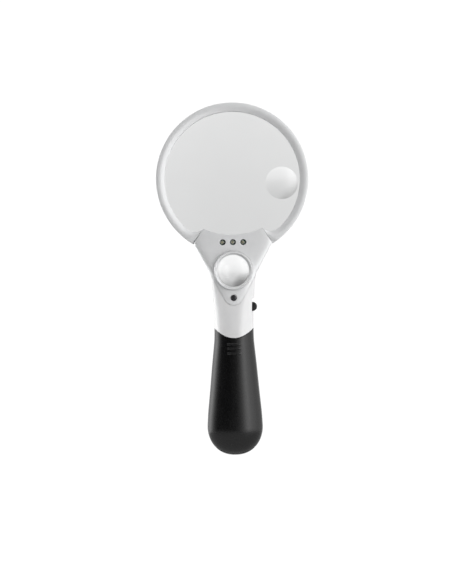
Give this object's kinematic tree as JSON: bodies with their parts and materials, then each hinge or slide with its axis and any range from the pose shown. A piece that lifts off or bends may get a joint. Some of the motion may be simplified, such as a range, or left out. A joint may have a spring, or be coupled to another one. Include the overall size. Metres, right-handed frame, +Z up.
{
  "type": "low vision magnifier",
  "caption": "Hand-held lit magnifier: a large round lens with a moulded stronger spot, a small strong lens in the neck, lamps under the ring, and a grip that slides off the battery holder.",
  "frame": {"origin": "inside the grip on its long axis, 60 mm above its lower end, where the hand closes round it", "axes": "+Z up the handle to the large lens, -Y towards the face with the lamps, +X towards the side with the switch"},
  "size_m": [0.138, 0.0352, 0.3193],
  "materials": {
    "silver_plastic": "satin silver-grey paint on moulded plastic",
    "white_plastic": "glossy white moulded plastic",
    "black_grip": "satin black soft-touch moulding",
    "black_plastic": "satin black moulded plastic",
    "clear_acrylic": "clear polished acrylic",
    "lamp_epoxy": "clear cast epoxy",
    "black_steel": "blackened steel",
    "plated_steel": "nickel-plated steel",
    "circuit_board": "green solder mask",
    "resistor_body": "tan lacquer",
    "red_insulation": "red wire insulation",
    "black_insulation": "black wire insulation",
    "cell_jacket": "printed metal jacket, no marks"
  },
  "bodies": {
    "head": {"front_ring": "silver_plastic", "rear_ring": "silver_plastic", "main_lens": "clear_acrylic", "front_trim": "silver_plastic", "small_lens_bezel": "silver_plastic", "small_lens": "clear_acrylic", "neck_front_shell": "white_plastic", "neck_rear_shell": "white_plastic", "front_screw": "black_steel", "rear_screw_left": "plated_steel", "rear_screw_right": "plated_steel", "led_left": "lamp_epoxy", "led_middle": "lamp_epoxy", "led_right": "lamp_epoxy", "led_board": "circuit_board", "led_resistor": "resistor_body", "slide_switch_body": "plated_steel", "red_wire_battery_to_switch": "red_insulation", "red_wire_switch_to_leds": "red_insulation", "black_wire_battery_to_leds": "black_insulation", "battery_holder": "black_plastic", "battery_left": "cell_jacket", "battery_rear": "cell_jacket", "battery_right": "cell_jacket", "battery_spring_left": "plated_steel", "battery_spring_rear": "plated_steel", "battery_spring_right": "plated_steel", "contact_top_left": "plated_steel", "contact_top_bridge": "plated_steel", "contact_bottom_bridge": "plated_steel", "contact_bottom_right": "plated_steel"},
    "switch_slider": {"switch_knob": "black_plastic"},
    "grip": {"grip_sleeve": "black_grip", "grip_end_cap": "black_grip"}
  },
  "joints": [
    {"name": "grip_slide", "type": "slide", "parent": "head", "child": "grip", "axis": [0, 0, -1], "range_m": [0, 0.072]},
    {"name": "switch_slide", "type": "slide", "parent": "head", "child": "switch_slider", "axis": [0, 0, 1], "range_m": [0, 0.003]}
  ]
}
